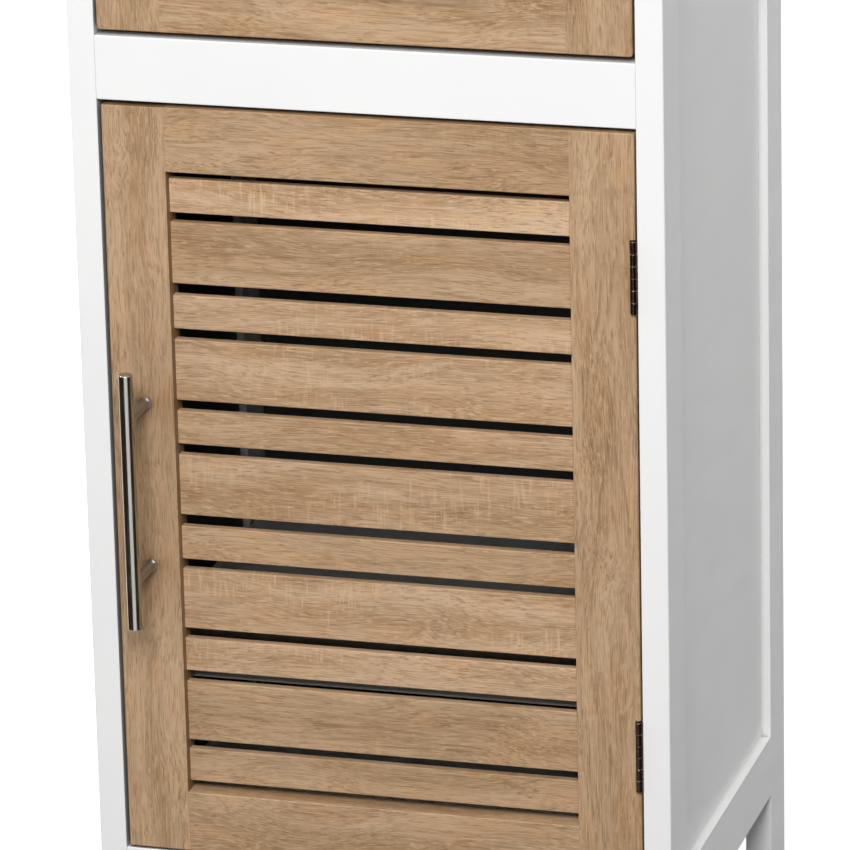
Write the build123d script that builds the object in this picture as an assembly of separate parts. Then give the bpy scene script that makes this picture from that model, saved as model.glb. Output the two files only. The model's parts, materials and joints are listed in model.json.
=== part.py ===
from build123d import *
import os

# Bathroom floor cabinet: white frame-and-panel case on four legs, one drawer over one door.
# Millimetres. X runs to the right, Y to the back, Z up. The origin is on the floor, under the
# middle of the whole cabinet with its door handle counted in the depth.

# Overall case
body_width = 350.0
body_depth = 296.0
board = 16.0
member = 38.0
edge_round = 1.0
front_ease = 0.7
joint_ease = 0.4

# Heights, from the floor up
foot_clearance = 86.0
bottom_rail_height = 39.0
door_opening = 462.0
cross_rail_height = 38.0
drawer_opening = 121.0
top_rail_height = 38.0
top_thickness = 16.0

# Top board
top_overhang = 10.0
top_corner_round = 4.0
top_edge_round = 3.0

# Side frames
panel_thickness = 5.0
panel_recess = 6.0
panel_tongue = 7.0
groove_clearance = 1.0

# Back panel, floor, divider and shelf
back_thickness = 3.0
back_rebate_depth = 4.0
back_rebate_width = 6.0
back_edge_clearance = 0.5
floor_thickness = 12.0
divider_thickness = 6.0
divider_tongue = 6.0
divider_side_clearance = 0.5
divider_above_rail_bottom = 16.0
shelf_thickness = 12.0
shelf_rise = 103.0
shelf_side_clearance = 1.0
shelf_front_setback = 24.0
shelf_rear_clearance = 2.0

# Shelf pins
pin_radius = 2.5
pin_in_wood = 8.0
pin_reach = 8.0
pin_collar_radius = 3.8
pin_collar_thickness = 1.2
pin_front_inset = 26.0
pin_rear_inset = 19.0
pin_hole_pitch = 32.0

# Dowels and foot glides
dowel_radius = 3.0
dowel_length = 30.0
dowel_into_leg = 11.0
dowel_from_edge = 12.0
floor_dowel_offset = 95.0
glide_radius = 7.0
glide_height = 3.0
glide_chamfer = 0.75
glide_nail_radius = 1.2
glide_nail_length = 14.0

# Door
door_gap_handle_side = 2.0
door_gap_hinge_side = 1.1
door_gap_top = 2.7
door_gap_bottom = 1.4
door_top_rail = 38.4
door_bottom_rail = 37.2
tenon_length = 10.0
tenon_thickness = 6.0
tenon_shoulder = 6.0
mortise_clearance = 0.5

# Door slats, alternating narrow and wide from top to bottom, with uneven slots as in the photo
narrow_slat = 20.4
wide_slat = 37.1
slat_count = 11
slot_shares = (5.3, 5.6, 7.0, 6.4, 6.5, 6.5, 7.1, 6.1, 6.2, 6.7, 5.6, 5.4)
slat_thickness = 5.0
slat_recess = 6.0
slat_tongue = 8.0
slat_ease = 0.7
door_edge_round = 1.5

# Butt hinges
hinge_length = 43.0
hinge_inset = 84.0
knuckle_count = 6
knuckle_radius = 2.05
knuckle_gap = 0.2
hinge_pin_radius = 1.0
hinge_pin_clearance = 0.05
leaf_thickness = 0.9
leaf_depth = 14.0
leaf_standoff = 0.1
leaf_knuckle_clearance = 0.2
leaf_corner = 1.5
barrel_proud = 0.6
notch_clearance = 0.4

# Hinge screws
leaf_screw_pitch = 27.0
leaf_screw_setback = 7.5
screw_head_radius = 2.3
screw_radius = 1.2
screw_length = 12.0
drive_slot_width = 0.7
drive_slot_depth = 0.5

# Bar handles
handle_length = 156.0
handle_centres = 100.0
handle_radius = 4.2
handle_standoff = 33.0
handle_chamfer = 0.5
door_handle_offset = 1.4
post_radius = 3.1
post_foot_radius = 3.9
post_foot_height = 1.2
handle_screw_radius = 1.6
handle_screw_in_post = 9.0
handle_head_radius = 3.8
handle_head_height = 2.2

# Drawer
drawer_gap_side = 1.6
drawer_gap_bottom = 3.5
drawer_gap_top = 2.5
drawer_side_clearance = 4.0
drawer_side_thickness = 12.0
drawer_side_height = 86.0
drawer_box_rise = 8.0
drawer_rear_clearance = 28.0
drawer_back_drop = 6.0
drawer_bottom_thickness = 3.0
drawer_bottom_rise = 8.0
drawer_bottom_tongue = 5.0

# Drawer runners
runner_height = 14.0
runner_depth = 10.0
runner_front_setback = 20.0
runner_rear_clearance = 7.0
runner_running_clearance = 0.3
runner_side_clearance = 0.5
runner_rise = 55.0
runner_screw_inset = 26.0
runner_counterbore_depth = 5.0
runner_counterbore_radius = 3.2

# Magnetic catch
catch_drop = 60.0
catch_height = 36.0
catch_width = 14.0
catch_depth = 16.0
catch_flange = 2.0
catch_flange_length = 9.0
catch_ear_round = 3.8
catch_gap = 0.3
pole_thickness = 1.2
pole_spacing = 6.0
pole_proud = 0.8
pole_side_inset = 3.0
strike_thickness = 1.0
strike_width = 12.0
strike_height = 34.0

# Worked-out planes and levels
front_y = -(body_depth - handle_standoff - handle_radius) / 2
rear_y = front_y + body_depth
half_width = body_width / 2
inner_x = half_width - board
front_inner_y = front_y + member
rear_inner_y = rear_y - member
bottom_rail_z = foot_clearance
door_opening_z = bottom_rail_z + bottom_rail_height
cross_rail_z = door_opening_z + door_opening
drawer_opening_z = cross_rail_z + cross_rail_height
top_rail_z = drawer_opening_z + drawer_opening
frame_top_z = top_rail_z + top_rail_height
back_rail_y = rear_y - back_rebate_depth
panel_outer_x = half_width - panel_recess
divider_z = cross_rail_z + divider_above_rail_bottom
shelf_z = door_opening_z + shelf_rise
shelf_pin_z = shelf_z - pin_radius
floor_z = door_opening_z - floor_thickness

door_left_x = -inner_x + door_gap_handle_side
door_right_x = inner_x - door_gap_hinge_side
door_bottom_z = door_opening_z + door_gap_bottom
door_top_z = cross_rail_z - door_gap_top
door_mid_z = (door_bottom_z + door_top_z) / 2
door_infill_left = door_left_x + member
door_infill_right = door_right_x - member
infill_bottom_z = door_bottom_z + door_bottom_rail
infill_top_z = door_top_z - door_top_rail

axis_x = inner_x - knuckle_radius - leaf_standoff
axis_y = front_y - barrel_proud
hinge_centres = (door_top_z - hinge_inset, door_bottom_z + hinge_inset)
screw_y = front_y + leaf_screw_setback
leaf_back_y = front_y + leaf_depth

drawer_left_x = -inner_x + drawer_gap_side
drawer_right_x = inner_x - drawer_gap_side
drawer_bottom_z = drawer_opening_z + drawer_gap_bottom
drawer_top_z = top_rail_z - drawer_gap_top
drawer_mid_z = (drawer_bottom_z + drawer_top_z) / 2
drawer_box_z = drawer_bottom_z + drawer_box_rise
drawer_side_x = inner_x - drawer_side_clearance
drawer_rear_y = back_rail_y - drawer_rear_clearance
runner_z = drawer_opening_z + runner_rise


def block(x0, x1, y0, y1, z0, z1):
    """A board given by its two ends along each axis, in either order."""
    size = Box(abs(x1 - x0), abs(y1 - y0), abs(z1 - z0))
    return Pos((x0 + x1) / 2, (y0 + y1) / 2, (z0 + z1) / 2) * size


def rod(start, direction, radius, length):
    """A round bar from its start point along a direction."""
    return extrude(Plane(origin=start, z_dir=direction) * Circle(radius), length)


def ease(shape, axis, radius, keep):
    """Rounds the long edges that run along the axis and pass the keep test on their middle."""
    edges = [edge for edge in shape.edges().filter_by(axis) if keep(edge.center())]
    return fillet(edges, radius)


def near(a, b):
    return abs(a - b) < 1e-6


def dowel(middle_start, direction, into_first):
    """A wooden dowel across a joint face, sunk into_first behind the face point."""
    way = Vector(*direction)
    return rod(Vector(*middle_start) - way * into_first, direction, dowel_radius, dowel_length)


def frame_dowels():
    """Every dowel of the case, each across the face where two pieces meet."""
    pins = []
    leg_grip = dowel_into_leg
    for side in (-1, 1):
        face_x = side * inner_x
        inward = (-side, 0, 0)
        front_levels = (
            bottom_rail_z + dowel_from_edge,
            drawer_opening_z - dowel_from_edge,
            frame_top_z - dowel_from_edge,
        )
        for level in front_levels:
            pins.append(dowel((face_x, front_y + board / 2, level), inward, leg_grip))
        for rail_z in (bottom_rail_z, cross_rail_z, top_rail_z):
            level = rail_z + dowel_from_edge
            pins.append(dowel((face_x, back_rail_y - board / 2, level), inward, leg_grip))
        leg_x = side * (half_width - board / 2)
        for level in (bottom_rail_z + dowel_from_edge, frame_top_z - dowel_from_edge):
            pins.append(dowel((leg_x, front_inner_y, level), (0, 1, 0), dowel_length / 2))
            pins.append(dowel((leg_x, rear_inner_y, level), (0, 1, 0), dowel_length / 2))
        floor_level = floor_z + floor_thickness / 2
        for y, grip in (
            (front_y + board, dowel_into_leg),
            (back_rail_y - board, dowel_length - dowel_into_leg),
        ):
            pins.append(dowel((side * floor_dowel_offset, y, floor_level), (0, 1, 0), grip))
    return pins


dowels = frame_dowels()


def touching(pins, shape):
    """The pins whose boxes reach into the shape's box."""
    box = shape.bounding_box()
    found = []
    for pin in pins:
        other = pin.bounding_box()
        apart = (
            other.min.X > box.max.X or other.max.X < box.min.X
            or other.min.Y > box.max.Y or other.max.Y < box.min.Y
            or other.min.Z > box.max.Z or other.max.Z < box.min.Z
        )
        if not apart:
            found.append(pin)
    return found


def drilled(shape, pins):
    """Cuts the seat of each pin that reaches into the shape."""
    for pin in touching(pins, shape):
        shape = shape - pin
    return shape


def side_panel(side, clearance=0.0):
    """The thin panel of a side frame, with its tongues in the grooves all round."""
    reach = panel_tongue + clearance
    x_out = side * panel_outer_x
    x_in = side * (panel_outer_x - panel_thickness)
    return block(
        x_out, x_in,
        front_inner_y - reach, rear_inner_y + reach,
        door_opening_z - reach, top_rail_z + reach,
    )


def shelf_pin_places(side, front, levels=(0,)):
    y = front_y + pin_front_inset if front else rear_y - pin_rear_inset
    return [(side * inner_x, y, shelf_pin_z + step * pin_hole_pitch) for step in levels]


def glide(side, front):
    """A round plastic glide with the nail that holds it in the leg's end."""
    x = side * (half_width - board / 2)
    y = front_y + member / 2 if front else rear_y - member / 2
    disc = rod((x, y, 0), (0, 0, 1), glide_radius, glide_height)
    rim = disc.faces().sort_by(Axis.Z)[0].edges()
    disc = chamfer(rim, glide_chamfer)
    return disc + rod((x, y, 0), (0, 0, 1), glide_nail_radius, glide_height + glide_nail_length)


def countersunk_screw(head_at, direction, length=screw_length):
    """A flat-head wood screw, its slotted head flush with the point given."""
    plane = Plane(origin=head_at, z_dir=direction)
    head = loft([
        plane * Circle(screw_head_radius),
        plane.offset(screw_head_radius - screw_radius) * Circle(screw_radius),
    ])
    return head + extrude(plane * Circle(screw_radius), length)


def with_drive_slot(screw, head_at, direction):
    """The same screw with its straight drive slot cut in the head."""
    plane = Plane(origin=head_at, z_dir=direction)
    slot = Rectangle(3 * screw_head_radius, drive_slot_width)
    return screw - extrude(plane * slot, drive_slot_depth)


def runner_screw_places(side):
    head_x = side * (inner_x - runner_depth + runner_counterbore_depth)
    return [
        ((head_x, front_y + runner_screw_inset, runner_z), (side, 0, 0)),
        ((head_x, rear_y - runner_screw_inset, runner_z), (side, 0, 0)),
    ]


def catch_screw_places():
    z = cross_rail_z - catch_drop
    x = -inner_x + catch_flange
    y = front_y + board + strike_thickness + catch_gap + pole_proud + catch_depth / 2
    reach = catch_height / 2 + catch_flange_length / 2
    return [((x, y, z + way * reach), (-1, 0, 0)) for way in (-1, 1)]


def leaf_screw_places(face_x, way):
    return [
        ((face_x, screw_y, centre + side * leaf_screw_pitch / 2), (way, 0, 0))
        for centre in hinge_centres
        for side in (-1, 1)
    ]


cabinet_screw_places = (
    runner_screw_places(-1)
    + runner_screw_places(1)
    + catch_screw_places()
    + leaf_screw_places(inner_x - leaf_thickness, 1)
)
cabinet_screws = [countersunk_screw(at, way) for at, way in cabinet_screw_places]


def leg(side, front):
    """A side frame's upright: outer corner rounded, grooved for the panel, drilled for its pins."""
    y0, y1 = (front_y, front_inner_y) if front else (rear_inner_y, rear_y)
    corner_y = y0 if front else y1
    x_out = side * half_width
    shape = block(side * inner_x, x_out, y0, y1, glide_height, frame_top_z)
    at_corner = lambda c: near(c.X, x_out) and near(c.Y, corner_y)
    at_joint = lambda c: near(c.X, side * inner_x) and near(c.Y, corner_y)
    shape = ease(shape, Axis.Z, edge_round, at_corner)
    if front:
        shape = ease(shape, Axis.Z, joint_ease, at_joint)
    shape -= side_panel(side, groove_clearance)
    for place in shelf_pin_places(side, front, levels=(-1, 0, 1)):
        shape -= rod(place, (side, 0, 0), pin_radius, pin_in_wood)
    if not front:
        rebate_x = side * (inner_x + back_rebate_width)
        shape -= block(side * inner_x, rebate_x, back_rail_y, rear_y, bottom_rail_z, frame_top_z)
    shape = drilled(shape, dowels)
    shape = drilled(shape, cabinet_screws)
    return shape - glide(side, front)


def side_rail(side, z0, z1):
    """A rail between two legs, grooved along the panel's edge."""
    shape = block(side * inner_x, side * half_width, front_inner_y, rear_inner_y, z0, z1)
    shape -= side_panel(side, groove_clearance)
    return drilled(shape, dowels)


def front_rail(z0, z1):
    """A rail between the front legs, eased along the front and a little at both joints."""
    shape = block(-inner_x, inner_x, front_y, front_y + board, z0, z1)
    shape = ease(shape, Axis.X, front_ease, lambda c: near(c.Y, front_y))
    shape = ease(shape, Axis.Z, joint_ease, lambda c: near(c.Y, front_y))
    return drilled(shape, dowels)


def back_rail(z0, z1):
    shape = block(-inner_x, inner_x, back_rail_y - board, back_rail_y, z0, z1)
    return drilled(shape, dowels)


def divider_panel(clearance=0.0):
    reach = divider_tongue + clearance
    width = inner_x - divider_side_clearance + clearance
    return block(
        -width, width,
        front_y + board - reach, back_rail_y - board + reach,
        divider_z, divider_z + divider_thickness,
    )


def top_board():
    """The top, overhanging front and sides, with a rounded front edge and front corners."""
    x1 = half_width + top_overhang
    y0 = front_y - top_overhang
    z1 = frame_top_z + top_thickness
    shape = block(-x1, x1, y0, rear_y, frame_top_z, z1)
    shape = ease(shape, Axis.Z, top_corner_round, lambda c: near(c.Y, y0))
    rim = [e for e in shape.edges() if near(e.center().Z, z1) and e.center().Y < rear_y - 1]
    return fillet(rim, top_edge_round)


def back_panel():
    edge = back_edge_clearance
    x = inner_x + back_rebate_width - edge
    return block(
        -x, x,
        back_rail_y, back_rail_y + back_thickness,
        bottom_rail_z + edge, frame_top_z - edge,
    )


def floor_panel():
    shape = block(
        -inner_x, inner_x, front_y + board, back_rail_y - board,
        floor_z, floor_z + floor_thickness,
    )
    return drilled(shape, dowels)


def shelf():
    x = inner_x - shelf_side_clearance
    y0 = front_y + shelf_front_setback
    y1 = back_rail_y - shelf_rear_clearance
    shape = block(-x, x, y0, y1, shelf_z, shelf_z + shelf_thickness)
    return ease(shape, Axis.X, edge_round, lambda c: near(c.Y, y0))


def shelf_pins():
    pins = []
    for side in (-1, 1):
        for front in (True, False):
            (at,) = shelf_pin_places(side, front)
            outer_end = (at[0] + side * pin_in_wood, at[1], at[2])
            pin = rod(outer_end, (-side, 0, 0), pin_radius, pin_in_wood + pin_reach)
            # The collar is under the shelf's level all round but for its flat top.
            collar = rod(at, (-side, 0, 0), pin_collar_radius, pin_collar_thickness)
            above = block(
                at[0] - 2 * side * pin_collar_thickness, at[0] + side * pin_collar_thickness,
                at[1] - 2 * pin_collar_radius, at[1] + 2 * pin_collar_radius,
                shelf_z, shelf_z + 2 * pin_collar_radius,
            )
            pins.append(pin + (collar - above))
    return pins


def drawer_runner(side):
    """A strip along the inside of a side frame, screwed to both legs, that the drawer rides on."""
    x0 = side * (inner_x - runner_depth)
    y0 = front_y + runner_front_setback
    y1 = rear_y - runner_rear_clearance
    z0 = runner_z - runner_height / 2
    shape = block(x0, side * inner_x, y0, y1, z0, z0 + runner_height)
    shape = ease(shape, Axis.Y, edge_round, lambda c: near(c.X, x0))
    for (x, y, z), way in runner_screw_places(side):
        shape -= rod((x0, y, z), way, runner_counterbore_radius, runner_counterbore_depth)
    return drilled(shape, cabinet_screws)


def knuckle_spans(centre):
    """Bottom and top of each knuckle, from the hinge's lower end up."""
    pitch = hinge_length / knuckle_count
    bottom = centre - hinge_length / 2
    half_gap = knuckle_gap / 2
    return [
        (bottom + i * pitch + half_gap, bottom + (i + 1) * pitch - half_gap)
        for i in range(knuckle_count)
    ]


def hinge_leaf(centre, way):
    """One leaf: way is 1 for the leaf on the cabinet and -1 for the leaf on the door."""
    own = knuckle_spans(centre)[0 if way == 1 else 1::2]
    others = knuckle_spans(centre)[1 if way == 1 else 0::2]
    x_in = axis_x + way * (knuckle_radius + leaf_standoff - leaf_thickness)
    x_out = axis_x + way * (knuckle_radius + leaf_standoff)
    z0 = centre - hinge_length / 2
    z1 = centre + hinge_length / 2
    shape = block(x_in, x_out, axis_y, leaf_back_y, z0, z1)
    shape = ease(shape, Axis.X, leaf_corner, lambda c: near(c.Y, leaf_back_y))
    swing = knuckle_radius + leaf_knuckle_clearance
    for low, high in others:
        shape -= block(
            axis_x, x_out + way, axis_y - swing, axis_y + swing,
            low - knuckle_gap, high + knuckle_gap,
        )
    for low, high in own:
        shape += rod((axis_x, axis_y, low), (0, 0, 1), knuckle_radius, high - low)
    bore = hinge_pin_radius + hinge_pin_clearance
    return shape - rod((axis_x, axis_y, z0 - 1), (0, 0, 1), bore, hinge_length + 2)


def hinge_pins():
    return [
        rod((axis_x, axis_y, centre - hinge_length / 2), (0, 0, 1), hinge_pin_radius, hinge_length)
        for centre in hinge_centres
    ]


def catch_housing():
    """A magnetic catch on the left front leg: ribbed case, screw ears and two pole plates."""
    z = cross_rail_z - catch_drop
    x0 = -inner_x
    y0 = front_y + board + strike_thickness + catch_gap + pole_proud
    y1 = y0 + catch_depth
    body = block(x0, x0 + catch_width, y0, y1, z - catch_height / 2, z + catch_height / 2)
    body = ease(body, Axis.Z, edge_round, lambda c: near(c.X, x0 + catch_width))
    reach = catch_height / 2 + catch_flange_length
    ears = block(x0, x0 + catch_flange, y0, y1, z - reach, z + reach)
    ears = ease(ears, Axis.X, catch_ear_round, lambda c: abs(c.Z - z) > catch_height / 2)
    shape = body + ears
    for way in (-1, 1):
        x = x0 + catch_width / 2 + way * pole_spacing / 2
        half = catch_height / 2 - pole_side_inset
        thick = pole_thickness / 2
        shape += block(x - thick, x + thick, y0 - pole_proud, y0 + 1, z - half, z + half)
    return drilled(shape, cabinet_screws)


def slat_heights():
    return [narrow_slat if i % 2 == 0 else wide_slat for i in range(slat_count)]


def slat_levels():
    """Bottom and top of each slat, from the top down. The slots share the open height unevenly."""
    heights = slat_heights()
    open_height = infill_top_z - infill_bottom_z - sum(heights)
    levels = []
    top = infill_top_z
    for height, share in zip(heights, slot_shares):
        top -= open_height * share / sum(slot_shares)
        levels.append((top - height, top))
        top -= height
    return levels


def slat(low, high):
    """A thin board whose ends sit in the stiles' mortises, its front edges eased."""
    y0 = front_y + slat_recess
    x0 = door_infill_left - slat_tongue
    x1 = door_infill_right + slat_tongue
    shape = block(x0, x1, y0, y0 + slat_thickness, low, high)
    return ease(shape, Axis.X, slat_ease, lambda c: near(c.Y, y0))


slats = [slat(low, high) for low, high in slat_levels()]


def slat_mortise(low, high, clearance):
    y0 = front_y + slat_recess
    x0 = door_infill_left - slat_tongue - clearance
    x1 = door_infill_right + slat_tongue + clearance
    return block(x0, x1, y0, y0 + slat_thickness, low, high)


def rail_tenon(z0, z1, clearance=0.0):
    """The stub tenons at both ends of a door rail, as one bar through the rail."""
    middle = front_y + board / 2
    reach = tenon_length + clearance
    return block(
        door_infill_left - reach, door_infill_right + reach,
        middle - tenon_thickness / 2, middle + tenon_thickness / 2,
        z0 + tenon_shoulder, z1 - tenon_shoulder,
    )


def door_rail(z0, z1):
    shape = block(door_infill_left, door_infill_right, front_y, front_y + board, z0, z1)
    shape = ease(shape, Axis.X, front_ease, lambda c: near(c.Y, front_y))
    return shape + rail_tenon(z0, z1)


def handle_screw(at):
    """A pan-head screw from behind the front into a post: at is the middle of the back face."""
    head = rod(at, (0, 1, 0), handle_head_radius, handle_head_height)
    head = chamfer(head.faces().sort_by(Axis.Y)[-1].edges(), handle_head_height / 2)
    return head + rod(at, (0, -1, 0), handle_screw_radius, board + handle_screw_in_post)


door_handle_x = (door_left_x + door_infill_left) / 2 + door_handle_offset
door_post_places = [
    (door_handle_x, front_y, door_mid_z + way * handle_centres / 2) for way in (-1, 1)
]
drawer_post_places = [(way * handle_centres / 2, front_y, drawer_mid_z) for way in (-1, 1)]


def handle_screws(places):
    return [handle_screw((x, y + board, z)) for x, y, z in places]


def handle_post(place):
    """A round post with a small foot ring, tapped for its screw and hollowed for the bar."""
    x, y, z = place
    foot = rod(place, (0, -1, 0), post_foot_radius, post_foot_height)
    shape = foot + rod(place, (0, -1, 0), post_radius, handle_standoff)
    return shape - rod(place, (0, -1, 0), handle_screw_radius, handle_screw_in_post)


def handle_bar(middle, direction):
    """A round bar with chamfered ends, its axis handle_standoff in front of the face."""
    x, y, z = middle
    way = Vector(*direction)
    start = Vector(x, y - handle_standoff, z) - way * (handle_length / 2)
    bar = rod(start, direction, handle_radius, handle_length)
    ends = bar.edges().filter_by(GeomType.CIRCLE)
    return chamfer(ends, handle_chamfer)


door_bar = handle_bar((door_handle_x, front_y, door_mid_z), (0, 0, 1))
drawer_bar = handle_bar((0, front_y, drawer_mid_z), (1, 0, 0))

door_leaf_x = axis_x - knuckle_radius - leaf_standoff
strike_z = cross_rail_z - catch_drop
strike_x = -inner_x + catch_width / 2
door_screw_places = leaf_screw_places(door_leaf_x + leaf_thickness, -1)
strike_screw_place = ((strike_x, front_y + board + strike_thickness, strike_z), (0, -1, 0))
door_screw_places.append(strike_screw_place)
door_screws = [countersunk_screw(at, way) for at, way in door_screw_places]


def strike_plate():
    """The thin steel plate on the back of the door that the catch holds."""
    y0 = front_y + board
    half = strike_height / 2
    shape = block(
        strike_x - strike_width / 2, strike_x + strike_width / 2,
        y0, y0 + strike_thickness, strike_z - half, strike_z + half,
    )
    shape = ease(shape, Axis.Y, leaf_corner, lambda c: True)
    return drilled(shape, door_screws)


def door_stile(left):
    """An upright of the door with a mortise for every slat and for both rail tenons."""
    x0, x1 = (door_left_x, door_infill_left) if left else (door_infill_right, door_right_x)
    shape = block(x0, x1, front_y, front_y + board, door_bottom_z, door_top_z)
    outer = x0 if left else x1
    shape = ease(shape, Axis.X, front_ease, lambda c: near(c.Y, front_y))
    shape = ease(shape, Axis.Z, door_edge_round, lambda c: near(c.Y, front_y) and near(c.X, outer))
    for low, high in slat_levels():
        shape -= slat_mortise(low, high, mortise_clearance)
    shape -= rail_tenon(infill_top_z, door_top_z, mortise_clearance)
    shape -= rail_tenon(door_bottom_z, infill_bottom_z, mortise_clearance)
    if left:
        for x, y, z in door_post_places:
            shape -= rod((x, y + board, z), (0, -1, 0), handle_screw_radius, board)
    else:
        half = hinge_length / 2 + notch_clearance
        for centre in hinge_centres:
            shape -= block(
                door_leaf_x, x1, front_y, leaf_back_y + notch_clearance,
                centre - half, centre + half,
            )
    return drilled(shape, door_screws)


def drawer_side(side):
    """A drawer side, grooved outside for the runner and inside for the bottom."""
    x_out = side * drawer_side_x
    x_in = side * (drawer_side_x - drawer_side_thickness)
    z1 = drawer_box_z + drawer_side_height
    shape = block(x_in, x_out, front_y + board, drawer_rear_y, drawer_box_z, z1)
    shape = ease(shape, Axis.Y, edge_round, lambda c: near(c.Z, z1))
    groove_x = side * (inner_x - runner_depth - runner_side_clearance)
    half = runner_height / 2 + runner_running_clearance
    start_y = front_y + runner_front_setback - runner_running_clearance
    shape -= block(
        groove_x, x_out + side, start_y, drawer_rear_y, runner_z - half, runner_z + half,
    )
    return shape - drawer_bottom()


def drawer_bottom():
    x = drawer_side_x - drawer_side_thickness + drawer_bottom_tongue
    z0 = drawer_box_z + drawer_bottom_rise
    y0 = front_y + board - drawer_bottom_tongue
    return block(-x, x, y0, drawer_rear_y, z0, z0 + drawer_bottom_thickness)


def drawer_back():
    x = drawer_side_x - drawer_side_thickness
    z0 = drawer_box_z + drawer_bottom_rise + drawer_bottom_thickness
    z1 = drawer_box_z + drawer_side_height - drawer_back_drop
    return block(-x, x, drawer_rear_y - drawer_side_thickness, drawer_rear_y, z0, z1)


def drawer_front(x0, x1):
    """One board of the drawer front, eased above, below and at the front's own two ends."""
    shape = block(x0, x1, front_y, front_y + board, drawer_bottom_z, drawer_top_z)
    shape = ease(shape, Axis.X, front_ease, lambda c: near(c.Y, front_y))
    for outer in (drawer_left_x, drawer_right_x):
        if near(outer, x0) or near(outer, x1):
            at_end = lambda c: near(c.Y, front_y) and near(c.X, outer)
            shape = ease(shape, Axis.Z, door_edge_round, at_end)
    shape -= drawer_bottom()
    for x, y, z in drawer_post_places:
        if x0 < x < x1:
            shape -= rod((x, y + board, z), (0, -1, 0), handle_screw_radius, board)
    return shape


def with_slots(screws, places):
    return [with_drive_slot(screw, at, way) for screw, (at, way) in zip(screws, places)]


def cabinet_pieces():
    pieces = {
        "top_board": drilled(top_board(), dowels),
        "front_top_rail": front_rail(top_rail_z, frame_top_z),
        "front_cross_rail": front_rail(cross_rail_z, drawer_opening_z) - divider_panel(),
        "front_bottom_rail": front_rail(bottom_rail_z, door_opening_z),
        "back_top_rail": back_rail(top_rail_z, frame_top_z),
        "back_cross_rail": back_rail(cross_rail_z, drawer_opening_z) - divider_panel(),
        "back_bottom_rail": back_rail(bottom_rail_z, door_opening_z),
        "back_panel": back_panel(),
        "floor_panel": floor_panel(),
        "divider_panel": divider_panel(),
        "shelf": shelf(),
        "shelf_pins": shelf_pins(),
        "drawer_runners": [drawer_runner(side) for side in (-1, 1)],
        "hinge_cabinet_leaves": [
            drilled(hinge_leaf(centre, 1), cabinet_screws) for centre in hinge_centres
        ],
        "hinge_pins": hinge_pins(),
        "magnetic_catch": catch_housing(),
        "foot_glides": [glide(side, front) for side in (-1, 1) for front in (True, False)],
        "dowels": dowels,
        "cabinet_screws": with_slots(cabinet_screws, cabinet_screw_places),
    }
    for side, hand in ((-1, "left"), (1, "right")):
        pieces[hand + "_front_leg"] = leg(side, True)
        pieces[hand + "_rear_leg"] = leg(side, False)
        pieces[hand + "_bottom_side_rail"] = side_rail(side, bottom_rail_z, door_opening_z)
        pieces[hand + "_top_side_rail"] = side_rail(side, top_rail_z, frame_top_z)
        pieces[hand + "_side_panel"] = side_panel(side)
    return pieces


def door_pieces():
    pieces = {
        "door_left_stile": door_stile(True),
        "door_right_stile": door_stile(False),
        "door_top_rail": door_rail(infill_top_z, door_top_z),
        "door_bottom_rail": door_rail(door_bottom_z, infill_bottom_z),
        "hinge_door_leaves": [
            drilled(hinge_leaf(centre, -1), door_screws) for centre in hinge_centres
        ],
        "catch_strike_plate": strike_plate(),
        "door_screws": with_slots(door_screws, door_screw_places),
        "door_handle_bar": door_bar,
        "door_handle_posts": [handle_post(place) - door_bar for place in door_post_places],
        "door_handle_screws": handle_screws(door_post_places),
    }
    for i, shape in enumerate(slats):
        kind = "narrow_slat" if i % 2 == 0 else "wide_slat"
        pieces[f"door_{kind}_{i // 2 + 1}"] = shape
    return pieces


def drawer_pieces():
    left_joint = drawer_left_x + member
    right_joint = drawer_right_x - member
    return {
        "drawer_front_left_stile": drawer_front(drawer_left_x, left_joint),
        "drawer_front_board": drawer_front(left_joint, right_joint),
        "drawer_front_right_stile": drawer_front(right_joint, drawer_right_x),
        "drawer_left_side": drawer_side(-1),
        "drawer_right_side": drawer_side(1),
        "drawer_back": drawer_back(),
        "drawer_bottom": drawer_bottom(),
        "drawer_handle_bar": drawer_bar,
        "drawer_handle_posts": [handle_post(p) - drawer_bar for p in drawer_post_places],
        "drawer_handle_screws": handle_screws(drawer_post_places),
    }


def as_solids(shape):
    """A node's solids, whether it is one piece or a group of like pieces."""
    shapes = shape if isinstance(shape, list) else [shape]
    return [solid for item in shapes for solid in item.solids()]


os.makedirs("parts", exist_ok=True)
for pieces in (cabinet_pieces(), door_pieces(), drawer_pieces()):
    for node, shape in pieces.items():
        solids = as_solids(shape)
        whole = solids[0] if len(solids) == 1 else Compound(children=solids)
        export_step(whole, f"parts/{node}.step")
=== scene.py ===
import json
import math

import bmesh
import bpy
from bpy.props import FloatProperty, FloatVectorProperty, PointerProperty
from bpy.types import NodeSocket, Operator, Panel, PropertyGroup
from mathutils import Matrix, Vector


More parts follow.
